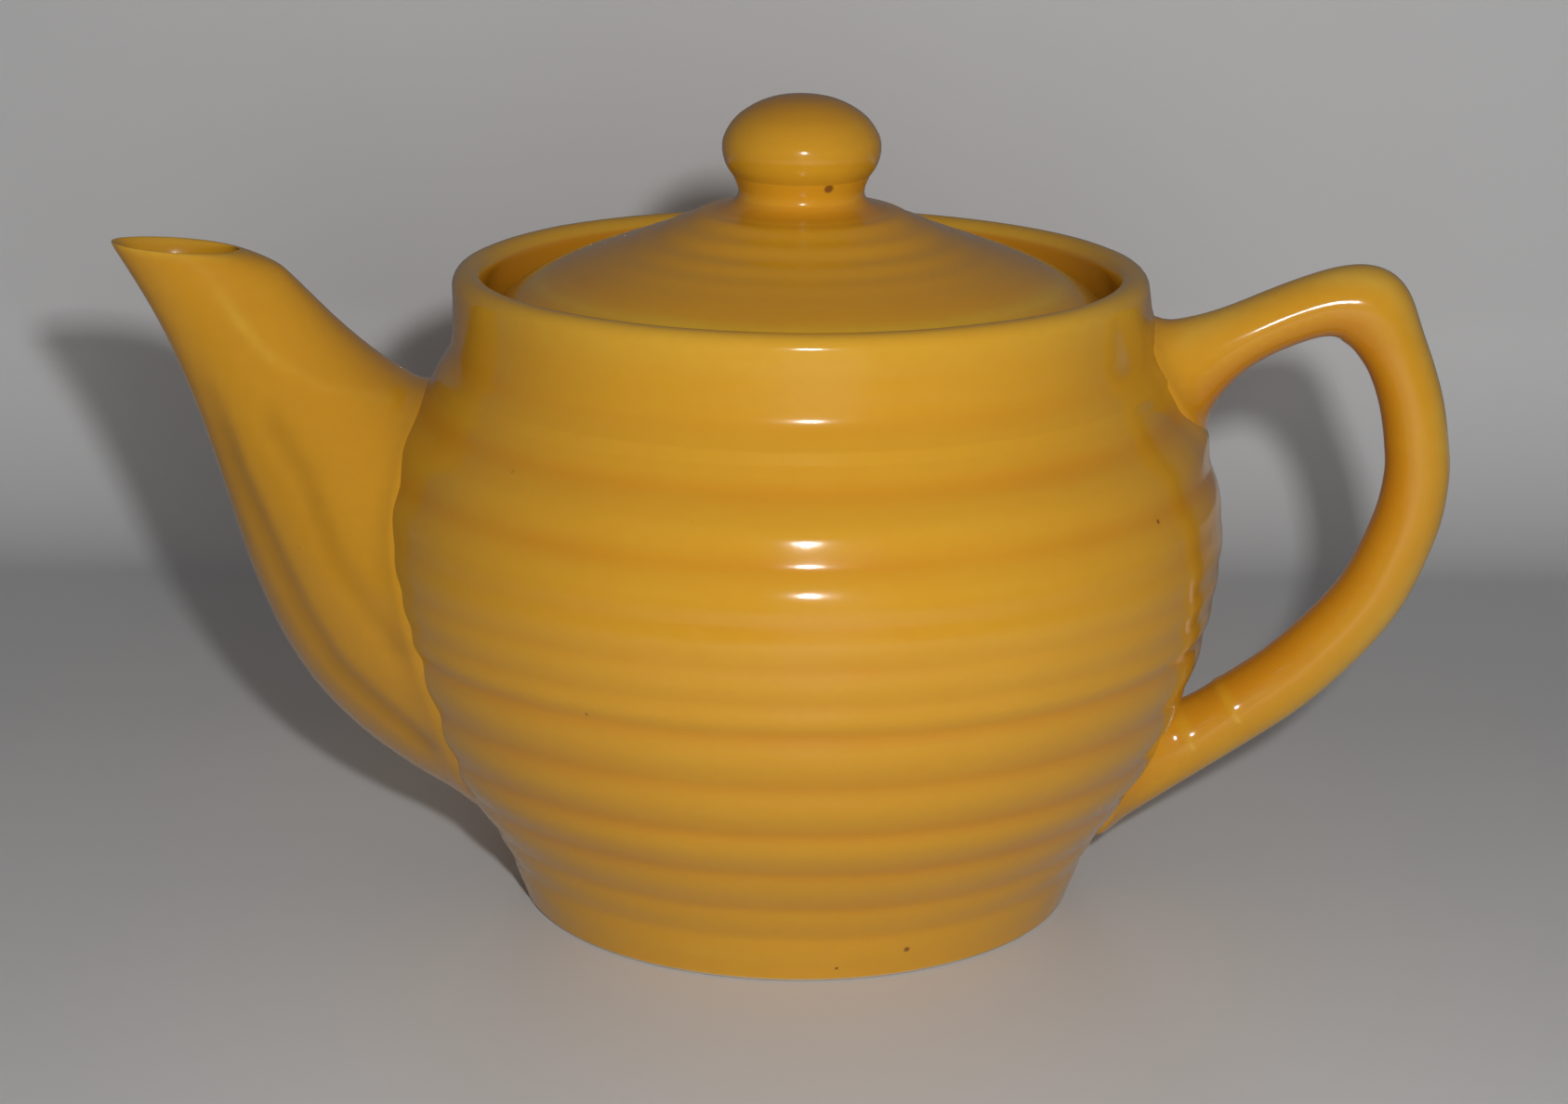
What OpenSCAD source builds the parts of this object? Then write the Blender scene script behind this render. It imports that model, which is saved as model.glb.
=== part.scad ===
// Teapot: thrown ringed pot, luted spout and handle, drop-in lid with a ball knob.
// Origin at the centre of the foot, +Z up, spout towards -X, handle towards +X.

/* [Pot] */
// Height of the rim above the table
rim_z = 102; // [92:0.5:120]
// Outer radius of the upright collar
collar_r = 55; // [51:0.5:59]
// Height of the upright collar, measured down from the rim
collar_h = 13; // [10:0.5:16]
// Outer radius at the foot
foot_r = 45; // [40:0.5:50]
// Radius at the turn of the lower wall
hip_r = 59.6; // [57:0.1:64]
// Height of that turn
hip_z = 28; // [24:0.5:32]
// Greatest radius of the pot
belly_r = 67.8; // [65:0.1:74]
// Height of the greatest radius
belly_z = 63.5; // [60:0.5:67]
// Radius where the shoulder turns in
shoulder_r = 64; // [61:0.1:66]
// Height of that turn
shoulder_z = 76; // [72:0.5:80]
// Wall thickness
wall = 5; // [4:0.1:6.5]
// Floor thickness above the foot recess
floor_t = 5; // [4:0.1:8]
// Radius inside, where the floor turns up into the wall
floor_round = 9; // [6:0.5:12]
// Thickness of the rounded rim
rim_t = 5.2; // [4.5:0.1:6]

/* [Foot] */
// Width of the foot ring
foot_w = 8; // [5:0.5:12]
// Depth of the recess inside the foot ring
foot_recess = 1.5; // [1:0.1:3]
// Bevel at the foot's edges
foot_edge = 1.2; // [0.6:0.1:2]

/* [Throwing rings] */
// Heights of the grooves between the throwing rings
groove_z = [14, 21.6, 29.4, 38, 47, 52, 57.5, 62, 70.5, 81.3, 89.5];
// Share of the full depth that each of these grooves has
groove_share = [0.5, 0.7, 0.9, 0.9, 1, 0.35, 0.35, 0.35, 1, 1, 1];
// Depth of a full groove
groove_depth = 1; // [0.3:0.1:1.4]

/* [Gallery] */
// Depth of the ledge below the rim
ledge_depth = 9.4; // [8:0.1:12]
// Width of the ledge
ledge_w = 6.4; // [5:0.1:8]
// Thickness of the ledge
ledge_t = 4; // [3:0.1:6]
// Height over which the ledge runs out into the wall below
ledge_run = 7; // [5:0.5:10]

/* [Spout] */
// Distance from the belly out to the pouring lip
spout_reach = 41; // [36:0.5:50]
// Height of the pouring lip above the rim
lip_rise = 3.4; // [0:0.1:8]
// Length of the mouth, from the lip back
mouth_l = 25; // [22:0.5:30]
// Width of the spout at the mouth
mouth_w = 16; // [13:0.5:20]
// Width of the spout where it meets the pot
spout_root_w = 58; // [50:0.5:64]
// Height at which the spout's underside meets the pot
spout_low_z = 16; // [14:0.5:20]
// Wall thickness of the spout
spout_wall = 3; // [2.4:0.1:3.6]

/* [Strainer] */
// Radius of the strainer holes
hole_r = 2.2; // [1.5:0.1:2.4]
// Distance between the strainer holes
hole_pitch = 7; // [6:0.1:8]
// Height of the middle strainer hole
hole_z = 50; // [44:0.5:54]

/* [Handle] */
// Distance from the belly out to the middle of the grip
grip_reach = 31.3; // [27:0.1:38]
// Height of the lowest point of the handle's middle line
handle_z = 17; // [14:0.5:20]
// Height of the handle's middle line
handle_h = 80.6; // [76:0.1:84]
// Thickness of the handle at the upper arm
handle_t = 9.7; // [8:0.1:12]
// Thickness of the handle towards the lower root
handle_low_t = 12; // [10:0.1:14]
// Width of the handle across the grip
handle_w = 12; // [10:0.1:15]
// Extra thickness where the upper arm is pressed onto the pot
handle_flare = 7; // [4:0.5:8]
// Extra width where the handle is pressed onto the pot
handle_spread = 5; // [2:0.5:7]

/* [Lid] */
// Gap between the lid's edge and the collar
lid_side_gap = 1; // [0.5:0.1:1.6]
// Gap between the lid and the ledge
lid_seat_gap = 0.3; // [0.2:0.05:0.5]
// Thickness of the lid's edge
lid_edge_t = 3.6; // [3:0.1:5]
// Rounding of the lid's edge
lid_round = 1.4; // [0.8:0.1:2]
// Distance from the neck out to the start of the dome
neck_run = 10.6; // [8:0.1:13]
// Thickness of the lid's dome
lid_t = 4; // [3:0.1:5]
// Height of the lid from its edge to the top of its neck
lid_h = 20.8; // [17:0.1:24]
// Depth of the flange under the lid
flange_h = 6.5; // [4:0.5:9]
// Thickness of the flange
flange_t = 3.4; // [2.5:0.1:4.5]
// Gap between the flange and the ledge
flange_gap = 1; // [0.6:0.1:1.6]
// Height of the faint rings on the dome
dome_ring = 0.3; // [0:0.05:0.6]

/* [Knob] */
// Radius of the neck under the knob
neck_r = 9.4; // [7.5:0.1:11]
// Radius of the knob
knob_r = 12.5; // [11.5:0.1:15]
// Height of the knob above the neck
knob_h = 12.6; // [10:0.1:16]
// Height of the knob's widest line above the neck
knob_wide_z = 5.4; // [4:0.1:7]

/* [Hidden] */
$fn = 120;
glaze = [0.74, 0.53, 0.22];

collar_z = rim_z - collar_h;
rim_r = rim_t / 2;
ledge_z = rim_z - ledge_depth;
gallery_r = collar_r - rim_t;
ledge_r = gallery_r - ledge_w;
lid_r = gallery_r - lid_side_gap;
lid_z = ledge_z + lid_seat_gap;
neck_z = lid_z + lid_edge_t + lid_h;
flange_r = ledge_r - flange_gap;
tip_x = belly_r + spout_reach;
tip_z = rim_z + lip_rise;

// The pot's middle outer line: radius over height at the turns of the profile.
turns = [
    [0, foot_r],
    [hip_z * 0.36, foot_r + (hip_r - foot_r) * 0.27],
    [hip_z, hip_r],
    [(hip_z + belly_z) / 2, belly_r - (belly_r - hip_r) * 0.245],
    [belly_z, belly_r],
    [shoulder_z, shoulder_r],
    [(shoulder_z + collar_z) / 2, (shoulder_r + collar_r) / 2 + (shoulder_r - collar_r) * 0.05],
    [collar_z, collar_r + (shoulder_r - collar_r) * 0.1],
    [collar_z + collar_h * 0.45, collar_r],
    [rim_z, collar_r]
];

function slope(i) =
    i == 0 || i == len(turns) - 1
    ? 0.35 * (i == 0 ? 1 : 0)
    : (turns[i + 1][1] - turns[i - 1][1]) / (turns[i + 1][0] - turns[i - 1][0]);
function hermite(a, b, ma, mb, u) =
    a * (1 + 2 * u) * (1 - u) * (1 - u) + ma * u * (1 - u) * (1 - u)
    + b * u * u * (3 - 2 * u) - mb * u * u * (1 - u);
function turn_below(z) = max([for (i = [0:len(turns) - 2]) turns[i][0] <= z ? i : 0]);
function on_turn(z, i) =
    let (h = turns[i + 1][0] - turns[i][0], u = (z - turns[i][0]) / h)
    hermite(turns[i][1], turns[i + 1][1], h * slope(i), h * slope(i + 1), u);
function smooth_r(z) = on_turn(z, turn_below(z));

// Points up the outside: each ring swells between two grooves, and the collar runs out of the last.
ring_steps = 6;
ring_ends = concat([foot_edge], groove_z, [collar_z + collar_h * 0.55]);
ring_shares = concat([0.4], groove_share, [0]);
function share(i, u) = ring_shares[i] * (1 - u) + ring_shares[i + 1] * u;
function swell(i, u) =
    groove_depth
    * (i == len(groove_z) ? -0.6 * pow(1 - u, 2) : share(i, u) * (4 * u * (1 - u) - 0.6));
outside = [
    for (i = [0:len(ring_ends) - 2])
        for (k = [(i == 0 ? 0 : 1):ring_steps])
            let (
                u = k / ring_steps,
                z = ring_ends[i] + (ring_ends[i + 1] - ring_ends[i]) * u,
                first = i == 0 && k == 0
            )
            [smooth_r(z) + (first ? 0 : swell(i, u)), z]
];
rim_line = [
    for (a = [0:15:180])
        [collar_r - rim_r + rim_r * cos(a), rim_z - rim_r + rim_r * sin(a)]
];

// Points down the inside, from under the ledge to the floor.
inner_top = ledge_z - ledge_t - ledge_run;
inner_low = foot_recess + floor_t;
inner_low_r = smooth_r(inner_low + floor_round) - wall;
inside_steps = 16;
inside = [
    for (k = [0:inside_steps])
        let (z = inner_top + (inner_low + floor_round - inner_top) * k / inside_steps)
        [smooth_r(z) - wall, z]
];
inner_corner = [
    for (a = [15:15:90])
        [inner_low_r - floor_round * (1 - cos(a)) , inner_low + floor_round * (1 - sin(a))]
];

module pot_solid() {
    rotate_extrude()
        polygon(concat(
            [[0, 0], [foot_r - foot_edge, 0]],
            outside,
            rim_line,
            [[0, rim_z - rim_r]]
        ));
}

module body_form() {
    foot_in = foot_r - foot_w;
    rotate_extrude()
        polygon(concat(
            [[0, foot_recess], [foot_in - foot_edge, foot_recess], [foot_in, 0]],
            [[foot_r - foot_edge, 0]],
            outside,
            rim_line,
            [[gallery_r, ledge_z], [ledge_r, ledge_z], [ledge_r, ledge_z - ledge_t]],
            inside,
            inner_corner,
            [[0, inner_low]]
        ));
}

// Seven holes in a hexagon through the wall behind the spout.
module strainer_holes() {
    for (i = [-1:6])
        if (i != 0)
            let (d = i < 0 ? 0 : hole_pitch)
            translate([-belly_r - wall, d * sin(60 * i), hole_z + d * cos(60 * i)])
                rotate([0, 90, 0])
                    cylinder(r = hole_r, h = 4 * wall);
}

module body() {
    color(glaze)
        difference() {
            body_form();
            strainer_holes();
        }
}

// A closed solid through rings of points, each ring with as many points.
module loft(rings) {
    n = len(rings[0]);
    m = len(rings);
    sides = [
        for (i = [0:m - 2])
            for (j = [0:n - 1])
                let (
                    a = i * n + j,
                    b = i * n + (j + 1) % n,
                    c = a + n,
                    d = b + n
                )
                each [[a, b, d], [a, d, c]]
    ];
    bottom = [for (j = [n - 1:-1:0]) j];
    top = [for (j = [0:n - 1]) (m - 1) * n + j];
    polyhedron([for (r = rings) each r], concat(sides, [bottom, top]), convexity = 6);
}

// A ring in a plane through two points of the XZ plane, w wide across it.
function ring(p, q, half_w, shrink, sides) =
    let (
        mid = (p + q) / 2,
        half = norm(q - p) / 2 - shrink,
        e = (q - p) / norm(q - p)
    )
    [
        for (k = [0:sides - 1])
            let (a = 360 * k / sides)
            [
                mid[0] + e[0] * half * cos(a),
                (half_w - shrink) * sin(a),
                mid[1] + e[1] * half * cos(a)
            ]
    ];
function bezier(p, t) =
    p[0] * pow(1 - t, 3) + p[1] * 3 * t * pow(1 - t, 2)
    + p[2] * 3 * t * t * (1 - t) + p[3] * pow(t, 3);

// The spout's underside and upper side, from the mouth into the pot.
under_line = [
    [-tip_x, tip_z],
    [-tip_x + spout_reach * 0.66, tip_z * 0.6],
    [-tip_x + spout_reach * 0.22, spout_low_z * 2.05],
    [-foot_r, spout_low_z * 0.75]
];
upper_line = [
    [-tip_x + mouth_l, tip_z - lip_rise * 0.35],
    [-tip_x + mouth_l * 1.3, tip_z - lip_rise * 2.5],
    [-belly_r, shoulder_z + spout_reach * 0.23],
    [-foot_r - spout_reach * 0.12, shoulder_z + spout_reach * 0.05]
];
spout_steps = 24;
spout_sides = 28;
seat_t = 0.85;
function spout_half_w(t) =
    (mouth_w + (spout_root_w - mouth_w) * pow(max(0, t) / seat_t, 1.6)) / 2;
function spout_rings(shrink, from, to) = [
    for (k = [0:spout_steps])
        let (t = from + (to - from) * k / spout_steps)
        ring(bezier(under_line, t), bezier(upper_line, t), spout_half_w(t), shrink, spout_sides)
];

module spout() {
    color(glaze)
        difference() {
            loft(spout_rings(0, 0, 1));
            loft(spout_rings(spout_wall, -0.03, 1.01));
            pot_solid();
        }
}

// The handle's middle line as shares of its reach and height.
handle_shape = [
    [-0.82, 0.73],
    [-0.4, 0.825],
    [0, 0.919],
    [0.38, 0.985],
    [0.65, 1],
    [0.813, 0.931],
    [0.969, 0.794],
    [1.002, 0.667],
    [0.94, 0.532],
    [0.77, 0.388],
    [0.43, 0.245],
    [0.07, 0.143],
    [-0.35, 0.035],
    [-0.8, -0.075],
    [-1.2, -0.19]
];
handle_line = [
    for (p = handle_shape)
        [belly_r + p[0] * grip_reach, handle_z + p[1] * handle_h]
];
handle_steps = 5;
handle_sides = 18;
function through(p, i, u) =
    hermite(p[i], p[i + 1], (p[i + 1] - p[i - 1]) / 2, (p[i + 2] - p[i]) / 2, u);
handle_path = [
    for (i = [1:len(handle_line) - 3])
        for (k = [0:handle_steps - 1])
            through(handle_line, i, k / handle_steps)
];
function across(p, i) =
    let (d = p[min(i + 1, len(p) - 1)] - p[max(i - 1, 0)])
    [-d[1], d[0]] / norm(d);
function near_root(s) = pow(max(0, 1 - s * 7), 3);
function corner(s) = exp(-pow((s - 3 / (len(handle_shape) - 3)) * 18, 2));

module handle() {
    last = len(handle_path) - 1;
    color(glaze)
        difference() {
            loft([
                for (i = [0:last])
                    let (
                        s = i / last,
                        thick = handle_t
                            + (handle_low_t - handle_t) * min(1, 1.6 * s * s)
                            + handle_flare * 2.5 * near_root(s)
                            + handle_t * 0.23 * corner(s),
                        spread = near_root(s) + near_root(1 - s),
                        half_w = handle_w / 2 + handle_spread * spread,
                        n = across(handle_path, i) * thick / 2
                    )
                    ring(handle_path[i] - n, handle_path[i] + n, half_w, 0, handle_sides)
            ]);
            pot_solid();
        }
}

// The lid's top line, from the neck down to the rounded edge.
dome_r = neck_r + neck_run;
dome_z = neck_z - lid_h * 0.36;
neck_line = [
    [neck_r, neck_z],
    [neck_r, neck_z - lid_h * 0.21],
    [dome_r - neck_run * 0.57, dome_z + lid_h * 0.144],
    [dome_r, dome_z]
];
dome_line = [
    [dome_r, dome_z],
    [dome_r + (lid_r - dome_r) * 0.36, dome_z - lid_h * 0.24],
    [lid_r - neck_run * 0.755, lid_z + lid_edge_t + lid_h * 0.26],
    [lid_r - lid_round, lid_z + lid_edge_t]
];
lid_steps = 18;
lid_top = concat(
    [for (k = [0:6]) bezier(neck_line, k / 6)],
    [
        for (k = [1:lid_steps])
            let (t = k / lid_steps, p = bezier(dome_line, t))
            [p[0], p[1] - dome_ring * (1 - cos(360 * 3 * t)) / 2]
    ]
);
dome_inside = [
    for (k = [lid_steps - 3:-1:2])
        let (p = bezier(dome_line, k / lid_steps))
        [p[0] - lid_t * 0.35, p[1] - lid_t]
];
dome_under = [for (p = dome_inside) if (p[0] < flange_r - flange_t - 1) p];

module lid() {
    color(glaze)
        rotate_extrude()
            polygon(concat(
                [[0, neck_z]],
                lid_top,
                [
                    [lid_r, lid_z + lid_edge_t - lid_round],
                    [lid_r, lid_z + lid_round * 0.57],
                    [lid_r - lid_round * 0.57, lid_z],
                    [flange_r, lid_z],
                    [flange_r, lid_z - flange_h + 1],
                    [flange_r - 1, lid_z - flange_h],
                    [flange_r - flange_t, lid_z - flange_h],
                    [flange_r - flange_t, lid_z + 1]
                ],
                dome_under,
                [[0, dome_z - lid_t + 1]]
            ));
}

// The ball knob, stuck on the lid's neck.
knob_low = [
    [neck_r, 0],
    [neck_r + (knob_r - neck_r) * 0.6, knob_wide_z * 0.1],
    [knob_r, knob_wide_z * 0.5],
    [knob_r, knob_wide_z]
];

module knob() {
    color(glaze)
        translate([0, 0, neck_z])
            rotate_extrude()
                polygon(concat(
                    [[0, 0]],
                    [for (k = [0:8]) bezier(knob_low, k / 8)],
                    [
                        for (a = [9:9:81])
                            [knob_r * cos(a), knob_wide_z + (knob_h - knob_wide_z) * sin(a)]
                    ],
                    [[0, knob_h]]
                ));
}

body();
spout();
handle();
lid();
knob();
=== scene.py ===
import math

import bmesh
import bpy
from mathutils import Euler, Matrix


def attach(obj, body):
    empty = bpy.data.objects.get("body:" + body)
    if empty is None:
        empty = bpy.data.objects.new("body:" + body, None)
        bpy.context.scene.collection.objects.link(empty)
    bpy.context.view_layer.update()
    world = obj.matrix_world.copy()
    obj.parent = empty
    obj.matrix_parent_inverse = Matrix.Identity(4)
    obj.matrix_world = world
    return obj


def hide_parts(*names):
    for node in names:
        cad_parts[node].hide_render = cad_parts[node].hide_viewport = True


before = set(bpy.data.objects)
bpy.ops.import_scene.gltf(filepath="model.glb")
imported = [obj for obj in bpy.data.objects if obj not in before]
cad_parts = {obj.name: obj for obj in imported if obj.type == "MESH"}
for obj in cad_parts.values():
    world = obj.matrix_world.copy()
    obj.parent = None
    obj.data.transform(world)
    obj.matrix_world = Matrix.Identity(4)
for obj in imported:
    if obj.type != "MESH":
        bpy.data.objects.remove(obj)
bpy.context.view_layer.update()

# The camera stands half a metre in front of the pot, a little above the knob, and looks down
# on the shoulder with the spout on the left and the handle on the right.
sensor, focal_px, picture_px = 36, 3701, 1687
tilt, turned, roll = 16.386, 0.25, 0.4
bpy.ops.object.select_all(action="DESELECT")
bpy.ops.object.camera_add(location=(0, -0.53333, 0.21247))
camera = bpy.context.object
camera.name = "camera"
camera.data.sensor_width = sensor
camera.data.lens = sensor * focal_px / picture_px
aim = Euler((math.radians(90 - tilt), 0, math.radians(turned))).to_matrix()
camera.rotation_euler = (aim @ Matrix.Rotation(math.radians(roll), 3, "Z")).to_euler()
bpy.context.scene.camera = camera


# The pot is one thrown piece of buff earthenware: a small foot, a ringed belly and an upright
# collar with a ledge inside for the lid. Seven strainer holes are pierced behind the spout, and
# it is dipped in a honey-yellow glaze that runs thin on the rings and lies deeper in the grooves.
MM = 0.001
wall, floor_z, floor_curve = 5, 6.5, 9
foot_r, foot_inner_r, foot_recess, foot_top = 44.7, 36.6, 1.5, 1.2
rim_z, rim_r, rim_round = 102, 55, 2.6
ledge_z, ledge_r, ledge_t, gallery_r = 92.6, 43.4, 4, 49.8
crisp = math.radians(50)

# Height and radius of the wall at its turns, then the height of each groove and its strength.
pot_turns = [
    (0, 45), (10.1, 48.9), (28, 59.6), (45.75, 65.8), (63.5, 67.8),
    (76, 64.2), (82.5, 60.1), (89, 56.05), (94.9, rim_r), (rim_z, rim_r),
]
pot_slopes = [0.35] + [
    (c[1] - a[1]) / (c[0] - a[0]) for a, c in zip(pot_turns, pot_turns[2:])
] + [0]
ring_sunk = 0.6
pot_grooves = [
    (foot_top, 0.1), (8, 0.25), (14, 0.35), (21.6, 0.45), (29.4, 0.5), (38, 0.45), (47, 0.5),
    (52, 0.2), (57.5, 0.25), (64, 0.25), (72.3, 0.5), (82, 0.5), (90.6, 0.35), (97, 0),
]


def pot_wall(z):
    """Radius of the pot at a height, before its rings, in millimetres."""
    i = max(k for k in range(len(pot_turns) - 1) if pot_turns[k][0] <= max(z, 0))
    (za, ra), (zb, rb) = pot_turns[i], pot_turns[i + 1]
    h, u = zb - za, (z - za) / (zb - za)
    out = ra * (1 + 2 * u) * (1 - u) ** 2 + rb * u * u * (3 - 2 * u)
    return out + h * (pot_slopes[i] * u * (1 - u) ** 2 - pot_slopes[i + 1] * u * u * (1 - u))


def pot_ring(z):
    """How far the ring at a height stands out, and how deep it lies in a groove from 0 to 1."""
    for (low, a), (high, b) in zip(pot_grooves, pot_grooves[1:]):
        if low <= z < high:
            u = (z - low) / (high - low)
            if b == 0:
                return -ring_sunk * a * (1 - u) ** 2, a * (1 - u) ** 2
            share, crown = a + (b - a) * u, math.sin(math.pi * u) ** 1.5
            return share * (crown - ring_sunk), share * (1 - crown)
    return 0, 0


def soften(profile, radius, steps=4, sharp=0.45):
    """Rounds each sharp turn of a profile, as the glaze does."""
    out = [profile[0]]
    for a, b, c in zip(profile, profile[1:], profile[2:]):
        p, q = (a[0] - b[0], a[1] - b[1]), (c[0] - b[0], c[1] - b[1])
        lp, lq = math.hypot(*p), math.hypot(*q)
        turn = math.acos(max(-1, min(1, -(p[0] * q[0] + p[1] * q[1]) / (lp * lq))))
        if turn < sharp:
            out.append(b)
            continue
        cut = min(radius * math.tan(turn / 2), lp * 0.45, lq * 0.45)
        s = (b[0] + p[0] / lp * cut, b[1] + p[1] / lp * cut)
        e = (b[0] + q[0] / lq * cut, b[1] + q[1] / lq * cut)
        for k in range(steps + 1):
            t = k / steps
            out.append(tuple(
                s[n] * (1 - t) ** 2 + b[n] * 2 * t * (1 - t) + e[n] * t * t for n in (0, 1)
            ))
    return out + [profile[-1]]


def throw(name, profile, steps=192):
    """Spins a profile of (radius, height) points in millimetres into a closed piece."""
    bpy.ops.object.select_all(action="DESELECT")
    start = profile[0]
    bpy.ops.mesh.primitive_plane_add(size=MM, location=(start[0] * MM, 0, start[1] * MM))
    piece = bpy.context.object
    piece.name = piece.data.name = name
    bpy.ops.object.transform_apply()
    bpy.ops.object.mode_set(mode="EDIT")
    bpy.ops.mesh.select_mode(type="VERT")
    bpy.ops.mesh.merge(type="CENTER")
    for a, b in zip(profile, profile[1:]):
        step = ((b[0] - a[0]) * MM, 0, (b[1] - a[1]) * MM)
        bpy.ops.mesh.extrude_vertices_move(TRANSFORM_OT_translate={"value": step})
    bpy.ops.mesh.select_all(action="SELECT")
    bpy.ops.mesh.spin(steps=steps, angle=math.tau, center=(0, 0, 0), axis=(0, 0, 1))
    bpy.ops.mesh.select_all(action="SELECT")
    bpy.ops.mesh.remove_doubles(threshold=0.000002)
    bpy.ops.mesh.normals_make_consistent(inside=False)
    bpy.ops.object.mode_set(mode="OBJECT")
    bpy.ops.object.shade_smooth_by_angle(angle=crisp)
    return piece


def finish_modifier(piece, kind, **settings):
    """Adds one modifier to a piece and applies it."""
    bpy.ops.object.select_all(action="DESELECT")
    piece.select_set(True)
    bpy.context.view_layer.objects.active = piece
    modifier = piece.modifiers.new(kind.lower(), kind)
    for key, value in settings.items():
        setattr(modifier, key, value)
    bpy.ops.object.modifier_apply(modifier=modifier.name)


def waver(piece, amount, size):
    """Lets a piece fall short of true by a fraction of a millimetre, as hand work does."""
    hand = bpy.data.textures.new(piece.name + "_hand", "CLOUDS")
    hand.noise_scale = size
    hand.noise_depth = 1
    finish_modifier(
        piece, "DISPLACE", texture=hand, texture_coords="LOCAL", strength=amount * MM, mid_level=1
    )


def press(piece, depth, strength):
    """Pushes the skin of a piece in by up to a depth in millimetres, as asked at each point."""
    group = piece.vertex_groups.new(name="press")
    for v in piece.data.vertices:
        group.add([v.index], strength(*(v.co / MM)), "REPLACE")
    finish_modifier(piece, "DISPLACE", vertex_group="press", strength=-depth * MM, mid_level=0)
    piece.vertex_groups.remove(piece.vertex_groups["press"])


def mark(piece, name, value):
    """Keeps a number at each point of a piece, worked out from its place in millimetres."""
    layer = piece.data.attributes.new(name, "FLOAT", "POINT")
    layer.data.foreach_set("value", [value(*(v.co / MM)) for v in piece.data.vertices])


outside = [(pot_wall(z) + pot_ring(z)[0], z) for z in [foot_top + 0.475 * k for k in range(200)]]
rim_arc = [
    (rim_r - rim_round + rim_round * math.cos(a), rim_z - rim_round + rim_round * math.sin(a))
    for a in [math.pi * k / 12 for k in range(13)]
]
inside = [(pot_wall(z) - wall, z) for z in [81.6 - 2.0 * k for k in range(34)]]
curve_z = floor_z + floor_curve
curve_r = pot_wall(curve_z) - wall - floor_curve
floor_round = [
    (curve_r + floor_curve * math.cos(a), curve_z - floor_curve * math.sin(a))
    for a in [math.pi / 16 * k for k in range(1, 9)]
]
pot_profile = (
    [(0, foot_recess), (foot_inner_r - 2.1, foot_recess), (foot_inner_r, 0), (foot_r, 0)]
    + [(foot_r + 0.4, 0.4)]
    + outside
    + rim_arc
    + [(gallery_r, ledge_z), (ledge_r, ledge_z), (ledge_r, ledge_z - ledge_t)]
    + inside
    + floor_round
    + [(0, floor_z)]
)
pot = throw("pot", soften(pot_profile, 0.9))

# One drill goes through the wall behind the spout: a hole in the middle and six round it.
hole_r, hole_pitch, hole_z = 2.2, 7, 50
bpy.ops.object.select_all(action="DESELECT")
for k in range(7):
    across, turn = (hole_pitch if k else 0), k * math.pi / 3
    bpy.ops.mesh.primitive_cylinder_add(
        vertices=24, radius=hole_r * MM, depth=0.03, rotation=(0, math.pi / 2, 0),
        location=(-0.066, across * math.sin(turn) * MM, (hole_z + across * math.cos(turn)) * MM),
    )
    if k == 0:
        drill = bpy.context.object
        bpy.ops.object.transform_apply()
        bpy.ops.object.mode_set(mode="EDIT")
bpy.ops.object.mode_set(mode="OBJECT")
finish_modifier(pot, "BOOLEAN", object=drill, operation="DIFFERENCE", solver="EXACT")
bpy.data.objects.remove(drill)

# The rim leans back by a degree, in two steps, so that its front stands a little higher.
lean_step, lean_y = math.radians(0.5), 0.052
bpy.ops.object.mode_set(mode="EDIT")
bpy.ops.mesh.select_mode(type="VERT")
for low, inner in ((86, 50.5), (93.5, 0)):
    bpy.ops.mesh.select_all(action="DESELECT")
    mesh = bmesh.from_edit_mesh(pot.data)
    for v in mesh.verts:
        v.select_set(v.co.z > low * MM and math.hypot(v.co.x, v.co.y) > inner * MM)
    bmesh.update_edit_mesh(pot.data)
    bpy.ops.transform.rotate(
        value=lean_step, orient_axis="X", center_override=(0, lean_y, low * MM)
    )
bpy.ops.object.mode_set(mode="OBJECT")


def outer(x, y, z):
    """Whether a point of the pot is on its outer side."""
    return math.hypot(x, y) > pot_wall(z) - wall / 2


joint_z, joint_half_w, joint_half_h, joint_fade = 85.5, 9, 10, 0.7


def rise(x, y, z):
    """How strongly the wall rises to the upper end of the handle, which is smoothed onto it."""
    away = math.hypot(y / joint_half_w, (z - joint_z) / joint_half_h)
    near = x > pot_wall(z) * 0.6 and outer(x, y, z)
    return near * max(0, min(1, (1 + joint_fade - away) / joint_fade)) ** 2


press(pot, -1, rise)
waver(pot, 0.25, 0.03)


def pot_depth_and_painted_light(x, y, z):
    """Depth of the glaze on the pot, with painted light: thin glaze and a painted highlight on its
    rim, painted shade inside the collar, thicker glaze in the grooves.
    """
    # The rim is thin glaze with a painted highlight.
    if z > rim_z - 1.5:
        return -0.3
    # Inside the collar the darker orange is painted shade.
    if z > ledge_z - 0.6 and math.hypot(x, y) < gallery_r + 0.8:
        return 1.3
    return 1.6 * pot_ring(z)[1] if outer(x, y, z) else 0.4


mark(pot, "depth", pot_depth_and_painted_light)
bare_z, bare_r = 0.5, foot_inner_r - 1.6
mark(pot, "bare", lambda x, y, z: 1 if z < bare_z and math.hypot(x, y) > bare_r else 0)


class Wire:
    """One value in a finish, so that sums of values are written as sums."""

    def __init__(self, nodes, socket):
        self.nodes, self.socket = nodes, socket

    def sum(self, operation, a, b):
        return self.nodes.node("ShaderNodeMath", {"operation": operation}, {0: a, 1: b})

    def __add__(self, other):
        return self.sum("ADD", self, other)

    def __radd__(self, other):
        return self.sum("ADD", other, self)

    def __sub__(self, other):
        return self.sum("SUBTRACT", self, other)

    def __rsub__(self, other):
        return self.sum("SUBTRACT", other, self)

    def __mul__(self, other):
        return self.sum("MULTIPLY", self, other)

    def __rmul__(self, other):
        return self.sum("MULTIPLY", other, self)


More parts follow.
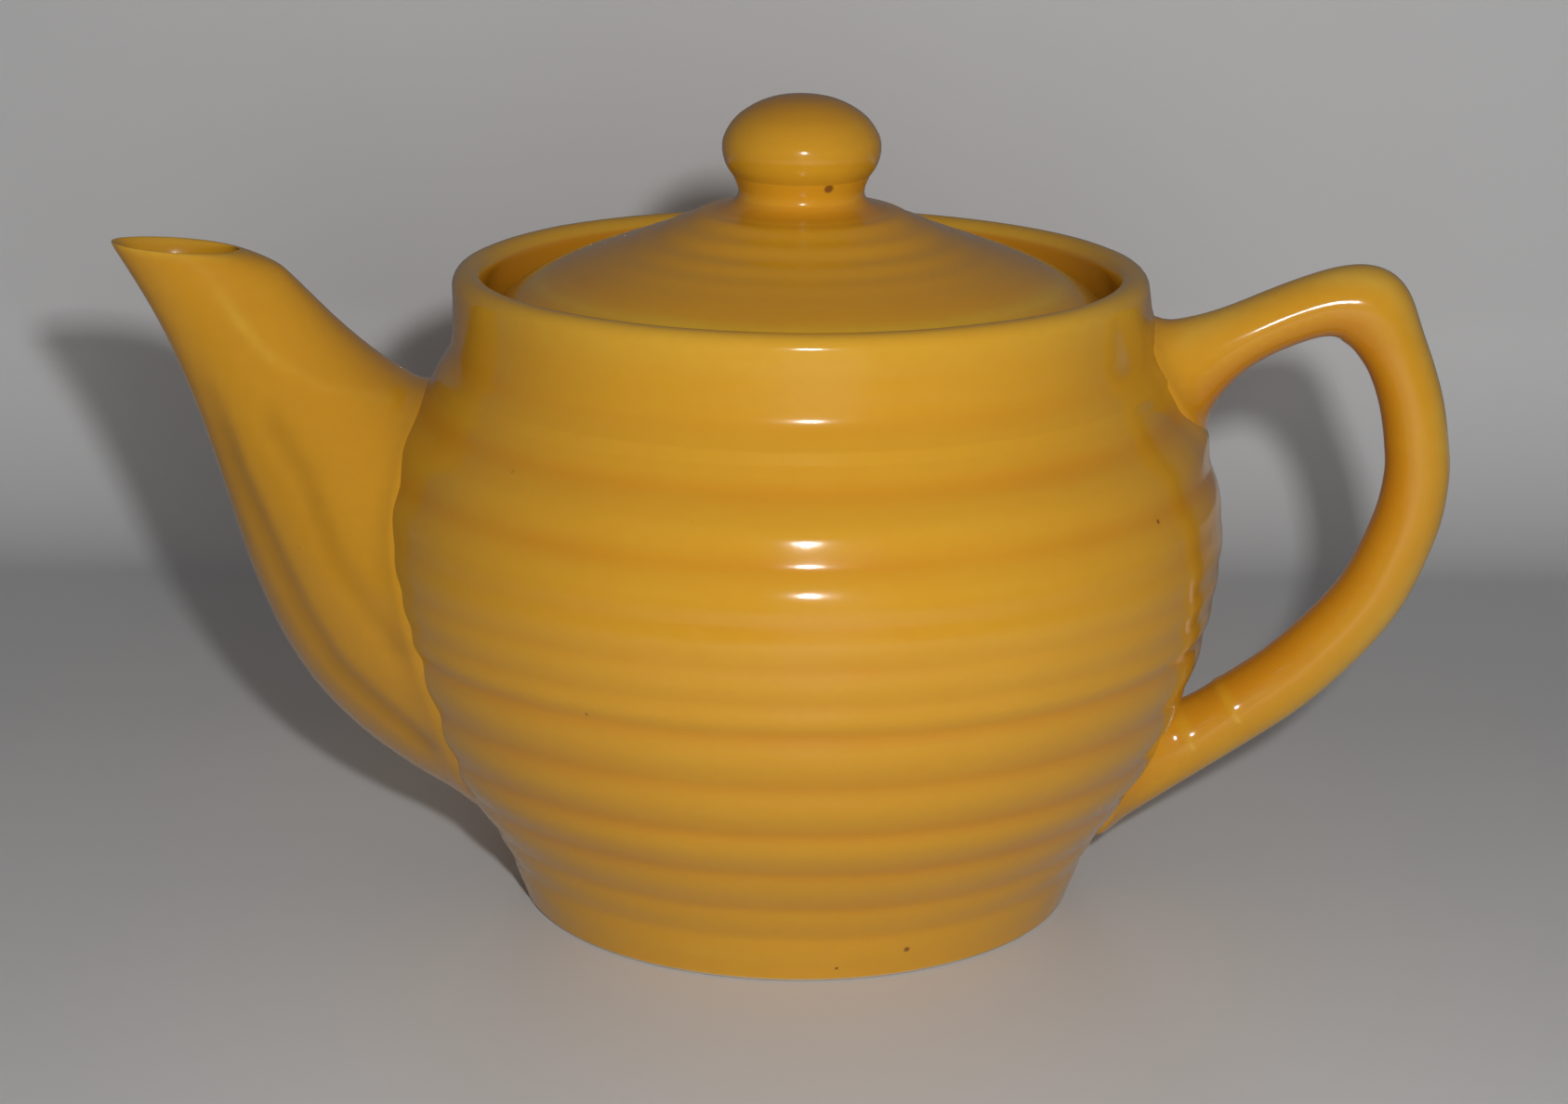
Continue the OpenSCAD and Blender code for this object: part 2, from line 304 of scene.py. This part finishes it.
class Nodes:
    """The nodes of a material or of the room."""

    def __init__(self, owner):
        owner.use_nodes = True
        self.tree = owner.node_tree

    def join(self, socket, value):
        if isinstance(value, Wire):
            self.tree.links.new(value.socket, socket)
        else:
            socket.default_value = value

    def node(self, kind, settings, inputs, output=0):
        made = self.tree.nodes.new(kind)
        for key, value in settings.items():
            setattr(made, key, value)
        for key, value in inputs.items():
            self.join(made.inputs[key], value)
        return Wire(self, made.outputs[output])


class Finish(Nodes):
    """A material, with the numbers that are the same all over it set on its shader."""

    def __init__(self, name, **shader):
        self.material = bpy.data.materials.new(name)
        super().__init__(self.material)
        self.shader = self.tree.nodes["Principled BSDF"]
        for socket, value in shader.items():
            self.shader.inputs[socket.replace("_", " ")].default_value = value

    def place(self):
        return self.node("ShaderNodeTexCoord", {}, {}, "Object")

    def clouds(self, scale, detail=2, stretch=(1, 1, 1)):
        """Soft patches around a half; the scale is how many of them go into a metre."""
        spot = self.node("ShaderNodeMapping", {}, {"Vector": self.place(), "Scale": stretch})
        return self.node(
            "ShaderNodeTexNoise", {}, {"Vector": spot, "Scale": scale, "Detail": detail}
        )

    def between(self, value, low, high, to_low=0, to_high=1):
        """Goes smoothly from one number to another while a value goes from low to high."""
        return self.node(
            "ShaderNodeMapRange", {"interpolation_type": "SMOOTHSTEP"},
            {
                "Value": value, "From Min": low, "From Max": high,
                "To Min": to_low, "To Max": to_high,
            },
        )

    def blend(self, share, a, b):
        return self.node("ShaderNodeMix", {"data_type": "RGBA"}, {0: share, 6: a, 7: b}, 2)

    def attribute(self, name):
        return self.node("ShaderNodeAttribute", {"attribute_name": name}, {}, "Fac")

    def dot(self, x, y, z, size):
        """1 inside a small round spot whose place is given in millimetres, 0 outside it."""
        away = self.node(
            "ShaderNodeVectorMath", {"operation": "DISTANCE"},
            {0: self.place(), 1: (x * MM, y * MM, z * MM)}, "Value",
        )
        return self.between(away, size * MM, size * 0.6 * MM)

    def dress(self, piece):
        piece.data.materials.clear()
        piece.data.materials.append(self.material)


def glaze(name, amber, pale, deep, dots=()):
    """Honey-yellow glaze over buff clay: paler where it is thin and where a highlight is painted
    on, more orange where it lies deep and where shade is painted on.

    The dots are single dark specks, each with its place and its size in millimetres.
    """
    coat, gloss, speck_brown = Finish(name, IOR=1.5), 0.12, (0.2, 0.075, 0.012, 1)
    drift = coat.clouds(28, 3)
    lines = coat.clouds(14, 2, (1, 1, 22))
    # The depth number holds glaze thickness together with painted light: high values are painted
    # shade, low values painted highlights.
    depth = coat.attribute("depth") + (drift - 0.5) * 0.9 + (lines - 0.5) * 0.3
    tone = coat.blend(coat.between(depth, 0.1, 1.2), amber, deep)
    tone = coat.blend(coat.between(depth, 0.1, -0.6), tone, pale)
    tone = coat.blend(coat.between(coat.clouds(420), 0.35, 0.7, 0, 0.1), tone, deep)
    pits = coat.node(
        "ShaderNodeTexVoronoi", {}, {"Vector": coat.place(), "Scale": 95.0}, "Distance"
    )
    speck = coat.between(pits, 0.06, 0.03) * coat.between(coat.clouds(60, 1), 0.66, 0.7)
    for spot in dots:
        speck = speck + coat.dot(*spot)
    coat.join(coat.shader.inputs["Base Color"], coat.blend(speck, tone, speck_brown))
    dull = coat.between(coat.clouds(45), 0.3, 0.8, 0, 0.07)
    coat.join(coat.shader.inputs["Roughness"], gloss + dull)
    skin = coat.clouds(700) * 0.2 + coat.clouds(90) * 0.8 - speck * 0.6
    bump = coat.node("ShaderNodeBump", {}, {"Height": skin, "Distance": 0.00004}, "Normal")
    coat.join(coat.shader.inputs["Normal"], bump)
    return coat


# The paler colour is the rim's thin glaze and painted highlight; the darker one is the grooves'
# thicker glaze and the painted shade inside the collar.
pot_glaze = glaze(
    "pot_glaze", (0.52, 0.255, 0.016, 1), (0.54, 0.295, 0.025, 1), (0.485, 0.2, 0.01, 1),
    [
        (-30.9, -58.6, 47.7, 0.5), (-15.2, -61.0, 77.9, 0.35), (54, -37.3, 71.9, 0.5),
        (6.4, -45.4, 2.4, 0.4),
    ],
)
bare = pot_glaze.attribute("bare")
clay = pot_glaze.blend(pot_glaze.clouds(300, 3), (0.50, 0.38, 0.25, 1), (0.60, 0.48, 0.33, 1))
clay_dull = 0.75
colour, rough = (pot_glaze.shader.inputs[name] for name in ("Base Color", "Roughness"))
glazed, shiny = (Wire(pot_glaze, socket.links[0].from_socket) for socket in (colour, rough))
pot_glaze.join(colour, pot_glaze.blend(bare, glazed, clay))
pot_glaze.join(rough, shiny + bare * clay_dull)
pot_glaze.dress(pot)
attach(pot, "pot")
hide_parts("body")


# The spout is a thrown cone, squeezed oval and bent, cut level at the mouth and luted onto the
# pot with slip while both are leather-hard. Its sides keep two long flutes and a ridge from the
# fingers that drew it up.
mouth_w, root_w, root_at, lip_roll, lip_pinch = 16, 58, 0.85, 3.4, 1.6
flute_w, ridge_w, lip_z = 1.9, 2, 105.4
under_line = [(-108.8, lip_z), (-81.7, 63.2), (-99.8, 32.8), (-45, 12)]
upper_line = [(-83.8, 104.2), (-76.3, 96.9), (-67.8, 85.4), (-49.9, 78)]
low_flute = [
    (-95, 88), (-91.5, 79.5), (-89, 72), (-85.2, 64.5), (-81.5, 57), (-77.5, 49.5), (-72.7, 42.6),
    (-65.5, 36.6), (-58, 31),
]
high_flute = [(-84, 84), (-82.1, 79.5), (-76.9, 72.1), (-72.7, 61.6), (-67.4, 54.8), (-62, 48)]
ridge = [(-92, 101), (-90.7, 98.8), (-86.5, 93.6), (-82.1, 89.3), (-73.3, 85), (-64, 83)]


def bezier(points, t):
    """A point of the curve that four points pull into shape, seen from the side."""
    weights = ((1 - t) ** 3, 3 * t * (1 - t) ** 2, 3 * t * t * (1 - t), t ** 3)
    return tuple(sum(w * p[n] for w, p in zip(weights, points)) for n in (0, 1))


def spout_ring(t, shrink):
    """A ring of the spout: its middle, slant, half length and half width in millimetres."""
    p, q = bezier(under_line, t), bezier(upper_line, t)
    roll = lip_roll * max(0, 1 - t / 0.1) ** 2
    q = (q[0] - roll, q[1] + roll * 0.1)
    wide = (mouth_w + (root_w - mouth_w) * (max(0, t) / root_at) ** 1.6) / 2
    wide -= lip_pinch * max(0, 1 - t / 0.2)
    slant = -math.atan2(q[1] - p[1], q[0] - p[0])
    return (p[0] + q[0]) / 2, (p[1] + q[1]) / 2, slant, math.dist(p, q) / 2 - shrink, wide - shrink


def loft(name, rings, sides, closed):
    """Stands rings of points along a path and bridges each one to the next."""
    bpy.ops.object.select_all(action="DESELECT")
    for k, (x, z, slant, long, wide) in enumerate(rings):
        bpy.ops.mesh.primitive_circle_add(
            vertices=sides, radius=long * MM, location=(x * MM, 0, z * MM), rotation=(0, slant, 0)
        )
        if k == 0:
            piece = bpy.context.object
            piece.name = piece.data.name = name
            bpy.ops.object.transform_apply()
            bpy.ops.object.mode_set(mode="EDIT")
            bpy.ops.mesh.select_mode(type="EDGE")
            bpy.ops.mesh.select_all(action="SELECT")
        bpy.ops.transform.resize(value=(1, wide / long, 1))

    def pick(wanted):
        bpy.ops.mesh.select_all(action="DESELECT")
        mesh = bmesh.from_edit_mesh(piece.data)
        for edge in mesh.edges:
            a, b = (v.index // sides for v in edge.verts)
            edge.select_set(a == b and a in wanted)
        bmesh.update_edit_mesh(piece.data)

    count = len(rings)
    for k in range(count if closed else count - 1):
        pick({k, (k + 1) % count})
        bpy.ops.mesh.bridge_edge_loops()
    if not closed:
        for end in (0, count - 1):
            pick({end})
            bpy.ops.mesh.edge_face_add()
    bpy.ops.mesh.select_all(action="SELECT")
    bpy.ops.mesh.normals_make_consistent(inside=False)
    bpy.ops.object.mode_set(mode="OBJECT")
    finish_modifier(piece, "SUBSURF", levels=2, render_levels=2)
    bpy.ops.object.shade_smooth_by_angle(angle=crisp)
    return piece


def along(x, z, line):
    """Distance from a point to a line, seen from the side, and its place along it from 0 to 1."""
    best = (1e9, 0)
    for k, ((ax, az), (bx, bz)) in enumerate(zip(line, line[1:])):
        dx, dz = bx - ax, bz - az
        u = max(0, min(1, ((x - ax) * dx + (z - az) * dz) / (dx * dx + dz * dz)))
        away = math.hypot(x - ax - u * dx, z - az - u * dz)
        best = min(best, (away, (k + u) / (len(line) - 1)))
    return best


def stroke(x, z, line, width, fade=5):
    """How strongly the mark of a finger along a line shows at a point, from 0 to 1."""
    away, share = along(x, z, line)
    return math.exp(-((away / width) ** 2)) * min(1, share * fade)


def seat(piece):
    """Cuts a piece off inside the pot's wall, where it was pressed on."""
    side = [(pot_wall(z) - wall * 0.52, z) for z in range(3, 100, 2)]
    core = throw("core", [(0, 3)] + side + [(0, 100)], 96)
    finish_modifier(piece, "BOOLEAN", object=core, operation="DIFFERENCE", solver="EXACT")
    bpy.data.objects.remove(core)


def root(reach):
    """How strongly the slip round a joint shows, up to a reach in millimetres from the wall."""
    return lambda x, y, z: max(0, 1 - max(0, math.hypot(x, y) - pot_wall(z)) / reach) ** 2.2


def flutes(x, y, z):
    """How deep a flute of the spout is at a point, from 0 to 1."""
    return max(stroke(x, z, low_flute, flute_w), 0.6 * stroke(x, z, high_flute, flute_w + 0.3))


# The rings go up the outside, over the rounded lip and down the inside, where the wall is 3 mm
# thick and thins towards the lip.
steps = [0.004, 0.03] + [0.07 + 0.93 * k / 22 for k in range(23)]
thickness = [1.9, 2.5, 2.9] + [3.1] * 22
spout_rings = (
    [spout_ring(t, 0) for t in reversed(steps)]
    + [spout_ring(-0.007, 0.35), spout_ring(-0.005, 1.1)]
    + [spout_ring(t, thick) for t, thick in zip(steps, thickness)]
)
spout = loft("spout", spout_rings, 40, True)
press(spout, 0.55, flutes)
press(spout, -0.16, lambda x, y, z: stroke(x, z, ridge, ridge_w, 3))
press(spout, -0.8, root(3.5))
seat(spout)
waver(spout, 0.3, 0.02)


def spout_depth_and_painted_light(x, y, z):
    """Depth of the glaze on the spout, with painted light: thicker glaze and painted shade in its
    flutes, painted shade along its lower edge, thin glaze at its lip and a painted highlight along
    its ridge.
    """
    edge = along(x, z, [bezier(under_line, k / 20) for k in range(21)])[0]
    lip = max(0, 1 - (lip_z - z) / 2)
    # The lip is thin glaze; the ridge term is a painted highlight.
    thin = 0.6 * lip + 0.4 * stroke(x, z, ridge, ridge_w - 0.7, 3)
    # The term by the lower edge is painted shade.
    return 0.15 + 0.9 * flutes(x, y, z) + 0.6 * math.exp(-edge / 2.5) - thin


mark(spout, "depth", spout_depth_and_painted_light)
# The darker colour carries the painted shade of the flutes and the lower edge, the paler one the
# painted highlight on the ridge.
spout_glaze = glaze(
    "spout_glaze", (0.50, 0.235, 0.013, 1), (0.56, 0.31, 0.03, 1), (0.38, 0.175, 0.01, 1)
)
spout_glaze.dress(spout)
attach(spout, "pot")
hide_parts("spout")


# The handle is a pulled strap of clay, round in section, bent to an ear with a firm corner at
# the top. Its upper end is smoothed into the shoulder and its lower end pressed onto the hip,
# where two creases stay.
handle_x, handle_z, handle_wide, handle_high = 67.8, 17, 31.3, 80.6
grip_t, heel_t, grip_w, flare_t, flare_w = 9.9, 1.8, 12, 17.5, 10
crease_w, corner_at, corner_t, corner_x, corner_z, ear = 0.6, 0.27, 1.9, 93, 101, (62, 60)
handle_shape = [
    (-0.82, 0.73), (-0.4, 0.825), (0, 0.919), (0.34, 0.98), (0.56, 0.998), (0.72, 0.972),
    (0.85, 0.9), (0.94, 0.81), (0.985, 0.72), (0.995, 0.64), (0.94, 0.532), (0.77, 0.388),
    (0.43, 0.245), (0.07, 0.143), (-0.35, 0.035), (-0.8, -0.075), (-1.2, -0.19),
]
handle_points = [
    (handle_x + handle_wide * a, handle_z + handle_high * b) for a, b in handle_shape
]
creases = ([(67.8, 35.6), (69.7, 32.7), (71.6, 29.4)], [(61.8, 30), (63.4, 26.9), (64.4, 24.4)])


def through(points, i, u):
    """A point of the smooth line through points, between the points i and i + 1."""
    a, b, c, d = points[i - 1:i + 3]
    return tuple(
        0.5 * (2 * b[n] + (c[n] - a[n]) * u + (2 * a[n] - 5 * b[n] + 4 * c[n] - d[n]) * u * u
               + (3 * b[n] - 3 * c[n] + d[n] - a[n]) * u ** 3)
        for n in (0, 1)
    )


def crease(x, z):
    """How strongly a crease at the handle's lower end shows at a point, from 0 to 1."""
    return max(stroke(x, z, line, crease_w, 4) for line in creases)


handle_line = [
    through(handle_points, i, k / 4) for i in range(1, len(handle_points) - 2) for k in range(4)
]
handle_rings = []
for k, (x, z) in enumerate(handle_line):
    s = k / (len(handle_line) - 1)
    before, after = handle_line[max(k - 1, 0)], handle_line[min(k + 1, len(handle_line) - 1)]
    slant = -math.atan2(after[0] - before[0], -(after[1] - before[1]))
    upper, lower = max(0, 1 - s * 8) ** 3, max(0, 1 - (1 - s) * 8) ** 3
    corner = math.exp(-(((s - corner_at) * 14) ** 2))
    thick = grip_t + heel_t * min(1, 1.6 * s * s) + flare_t * upper + corner_t * corner
    handle_rings.append((x, z, slant, thick / 2, (grip_w + flare_w * (upper + lower)) / 2))
handle = loft("handle", handle_rings, 24, False)
press(handle, -1.5, root(5))
press(handle, -1.7, lambda x, y, z: math.exp(-((math.hypot(x - corner_x, z - corner_z) / 7) ** 2)))
press(handle, -0.25, lambda x, y, z: crease(x, z))
seat(handle)
waver(handle, 0.3, 0.02)


def handle_depth_and_painted_light(x, y, z):
    """Depth of the glaze on the handle, with painted light: paler on its outer side as painted
    light, darker on its inner side as painted shade, thicker glaze at its joints, paler along its
    creases.
    """
    away, share = along(x, z, handle_line)
    middle = handle_line[min(int(share * (len(handle_line) - 1) + 0.5), len(handle_line) - 1)]
    outward = (math.dist((x, z), ear) > math.dist(middle, ear)) * 2 - 1
    joint = root(9)(x, y, z)
    # Painted light and shade: the outer side is painted lit, the inner side painted in shade.
    painted_side_light = 0.3 - 0.75 * outward * min(1, away / 5)
    return painted_side_light * (1 - joint) + 0.5 * joint - 0.8 * crease(x, z)


mark(handle, "depth", handle_depth_and_painted_light)
# The paler colour is painted light on the outer side, the darker one painted shade on the inner
# side.
handle_glaze = glaze(
    "handle_glaze", (0.52, 0.25, 0.014, 1), (0.57, 0.33, 0.04, 1), (0.48, 0.185, 0.008, 1)
)
handle_glaze.dress(handle)
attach(handle, "pot")
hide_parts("handle")


# The lid is thrown as a low dome with a neck for the knob and a flange below that keeps it from
# tipping out. The thrower's finger leaves fine rings round the neck that die out down the dome.
lid_r, lid_low, dome_t = gallery_r - 1, ledge_z + 0.3, 4
flange_r, flange_inner_r, flange_low = ledge_r - 1, 39, 86.4
neck_top, neck_r, fold_r = 119.2, 10.2, 41.5
ring_cut, ring_gap, ring_first, rings_from, rings_to = 0.11, 5, 15.75, 13, 36
neck_points = [
    (10.4, 119.4), (11, 118.6), (11.02, 117.9), (10.8, 117.2), (10.38, 116.2), (10.05, 115.2),
    (10.1, 114.2), (10.7, 113.3), (12, 112.6), (13.8, 112.1), (16.2, 111.5), (20, 109.82),
    (24, 107.9),
]
dome_line = [(20, 109.82), (30.37, 104.82), (42.3, 103), (47.9, 96.8)]


def ringed(point):
    """A point of the lid's side, lowered a little where it lies between two finger rings."""
    r, z = point
    strength = max(0, min(1, (r - rings_from) / 3)) * max(0, min(1, (rings_to - r) / 16))
    return r, z - ring_cut * strength * (1 - math.cos(math.tau * (r - ring_first) / ring_gap))


lid_profile = (
    [(0, neck_top), (neck_r, neck_top)]
    + [ringed(through(neck_points, i, k / 6)) for i in range(1, 11) for k in range(6)]
    + [ringed(bezier(dome_line, k / 90)) for k in range(91)]
    + [(lid_r, lid_low + 2.2), (lid_r, lid_low + 0.8), (lid_r - 0.8, lid_low), (flange_r, lid_low)]
    + [(flange_r, flange_low + 1), (flange_r - 1, flange_low), (flange_inner_r, flange_low)]
    + [(flange_inner_r, lid_low + 1)]
    + [(r - 1.4, z - dome_t) for r, z in [bezier(dome_line, k / 24) for k in range(18, 1, -1)]]
    + [(0, 106.8)]
)
lid = throw("lid", soften(lid_profile, 0.9))
waver(lid, 0.15, 0.03)


def lid_depth(x, y, z):
    """Depth of the glaze on the lid: deep round its neck, thin where the dome turns down."""
    r = math.hypot(x, y)
    thin = 0.8 * max(0, 1 - abs(r - fold_r) / 4)
    return 0.3 + 0.5 * (r > lid_r - 2.8) + 0.4 * (112 < z < 114) - thin


mark(lid, "depth", lid_depth)
lid_glaze = glaze(
    "lid_glaze", (0.56, 0.26, 0.013, 1), (0.60, 0.33, 0.02, 1), (0.49, 0.195, 0.008, 1),
    [(4.1, -9.3, 116.9, 1), (-30, -22, 104.3, 0.3), (12, 30, 106, 0.4)],
)
lid_glaze.dress(lid)
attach(lid, "cover")
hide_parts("lid")


# The knob is a ball of clay, pressed a little flat at the top. It is stuck on the lid's neck
# with slip, and its underside is smoothed down into the neck.
knob_low, knob_top, knob_pool = 117.35, 129.88, 123
knob_points = [
    (10.2, 116.6), (10.85, knob_low), (11.65, 118.5), (12.2, 119.8), (12.48, 121.3), (12.4, 122.8),
    (11.9, 124.1), (11.1, 125.4), (10, 126.6), (8.5, 127.7), (6.6, 128.7), (4, 129.5),
    (0, knob_top), (-4, 129.5),
]
knob_side = [through(knob_points, i, k / 5) for i in range(1, 12) for k in range(5)]
knob = throw("knob", [(0, knob_low)] + knob_side + [(0, knob_top)], 128)
waver(knob, 0.12, 0.01)
mark(knob, "depth", lambda x, y, z: 0.1 + 0.7 * max(0, (z - knob_pool) / 7))
knob_glaze = glaze(
    "knob_glaze", (0.51, 0.25, 0.014, 1), (0.55, 0.30, 0.02, 1), (0.42, 0.18, 0.01, 1)
)
knob_glaze.dress(knob)
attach(knob, "cover")
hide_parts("knob")


# The table is a sheet of pale grey card that bends up behind the pot. It is clear from behind
# and from below, and the lights for the back and the foot come through it.
bend_y, bend_r, card_wide, card_high = 0.17, 0.05, 6, 1.6
clear_z, clear_r = 0.03, 0.044
bpy.ops.object.select_all(action="DESELECT")
bpy.ops.mesh.primitive_plane_add(size=MM, location=(-3, -4, 0))
table = bpy.context.object
table.name = "table"
bpy.ops.object.transform_apply()
bpy.ops.object.mode_set(mode="EDIT")
bpy.ops.mesh.select_mode(type="VERT")
bpy.ops.mesh.merge(type="CENTER")
sweep = [(-4, 0)] + [
    (bend_y + bend_r * math.sin(a), bend_r - bend_r * math.cos(a))
    for a in [math.pi / 32 * k for k in range(17)]
] + [(bend_y + bend_r, card_high)]
for a, b in zip(sweep, sweep[1:]):
    bpy.ops.mesh.extrude_vertices_move(
        TRANSFORM_OT_translate={"value": (0, b[0] - a[0], b[1] - a[1])}
    )
bpy.ops.mesh.select_all(action="SELECT")
bpy.ops.mesh.extrude_edges_move(TRANSFORM_OT_translate={"value": (card_wide, 0, 0)})
bpy.ops.object.mode_set(mode="OBJECT")
if max(table.data.polygons, key=lambda face: face.area).normal.z < 0:
    bpy.ops.object.mode_set(mode="EDIT")
    bpy.ops.mesh.select_all(action="SELECT")
    bpy.ops.mesh.flip_normals()
    bpy.ops.object.mode_set(mode="OBJECT")
bpy.ops.object.shade_smooth()
card = Finish("card", Roughness=0.5)
card.join(
    card.shader.inputs["Base Color"],
    card.blend(card.clouds(3), (0.54, 0.54, 0.543, 1), (0.59, 0.59, 0.593, 1)),
)
behind = card.node("ShaderNodeNewGeometry", {}, {}, "Backfacing")
clear = card.node("ShaderNodeBsdfTransparent", {}, {})
seen = card.node("ShaderNodeLightPath", {}, {}, "Is Camera Ray")
height = card.node("ShaderNodeSeparateXYZ", {}, {"Vector": card.place()}, "Z")
upright = card.node("ShaderNodeMath", {"operation": "GREATER_THAN"}, {0: height, 1: clear_z})
away = card.node("ShaderNodeVectorMath", {"operation": "LENGTH"}, {0: card.place()}, "Value")
under_foot = card.node("ShaderNodeMath", {"operation": "LESS_THAN"}, {0: away, 1: clear_r})
passing = behind + under_foot + (1 - seen) * upright
solid = Wire(card, card.shader.outputs[0])
shown = card.node("ShaderNodeMixShader", {}, {0: passing, 1: solid, 2: clear})
card.join(card.tree.nodes["Material Output"].inputs["Surface"], shown)
table.data.materials.append(card.material)


# One lamp above and right of the camera gives the form and the shadows, a small one beside it
# the sharp glints, and a soft one low in front fills the foot. Two more light the back and the
# underside.
room_grey, backdrop_grey = (0.13, 0.13, 0.133, 1), (0.4, 0.4, 0.405, 1)


def lamp(place, turn, size, energy, tall=0, hidden="visible_glossy"):
    """Hangs up a square light, or a tall one, that one kind of reflection doesn't show."""
    bpy.ops.object.light_add(type="AREA", location=place, rotation=turn)
    made = bpy.context.object
    made.data.size, made.data.energy = size, energy
    if tall:
        made.data.shape = "RECTANGLE"
        made.data.size_y = tall
    setattr(made, hidden, False)


facing = tuple(camera.rotation_euler)
lamp((0.045, -0.535, 0.262), facing, 0.02, 2.2)
lamp((0.026, -0.535, 0.24), facing, 0.012, 0.8, 0.018, "visible_diffuse")
lamp((0.1, -0.9, 0.12), (math.radians(87), 0, math.radians(6)), 0.4, 1.9)
lamp((-0.05, 0.9, 0.08), (math.radians(-88), 0, 0), 0.2, 5)
lamp((0, 0, -0.5), (math.radians(180), 0, 0), 0.2, 1.2)
world = bpy.data.worlds.new("room")
bpy.context.scene.world = world
room = Nodes(world)
seen = room.node("ShaderNodeLightPath", {}, {}, "Is Camera Ray")
shade = room.node(
    "ShaderNodeMix", {"data_type": "RGBA"}, {0: seen, 6: room_grey, 7: backdrop_grey}, 2
)
room.join(room.tree.nodes["Background"].inputs["Color"], shade)

bpy.context.scene.view_settings.view_transform = "Standard"
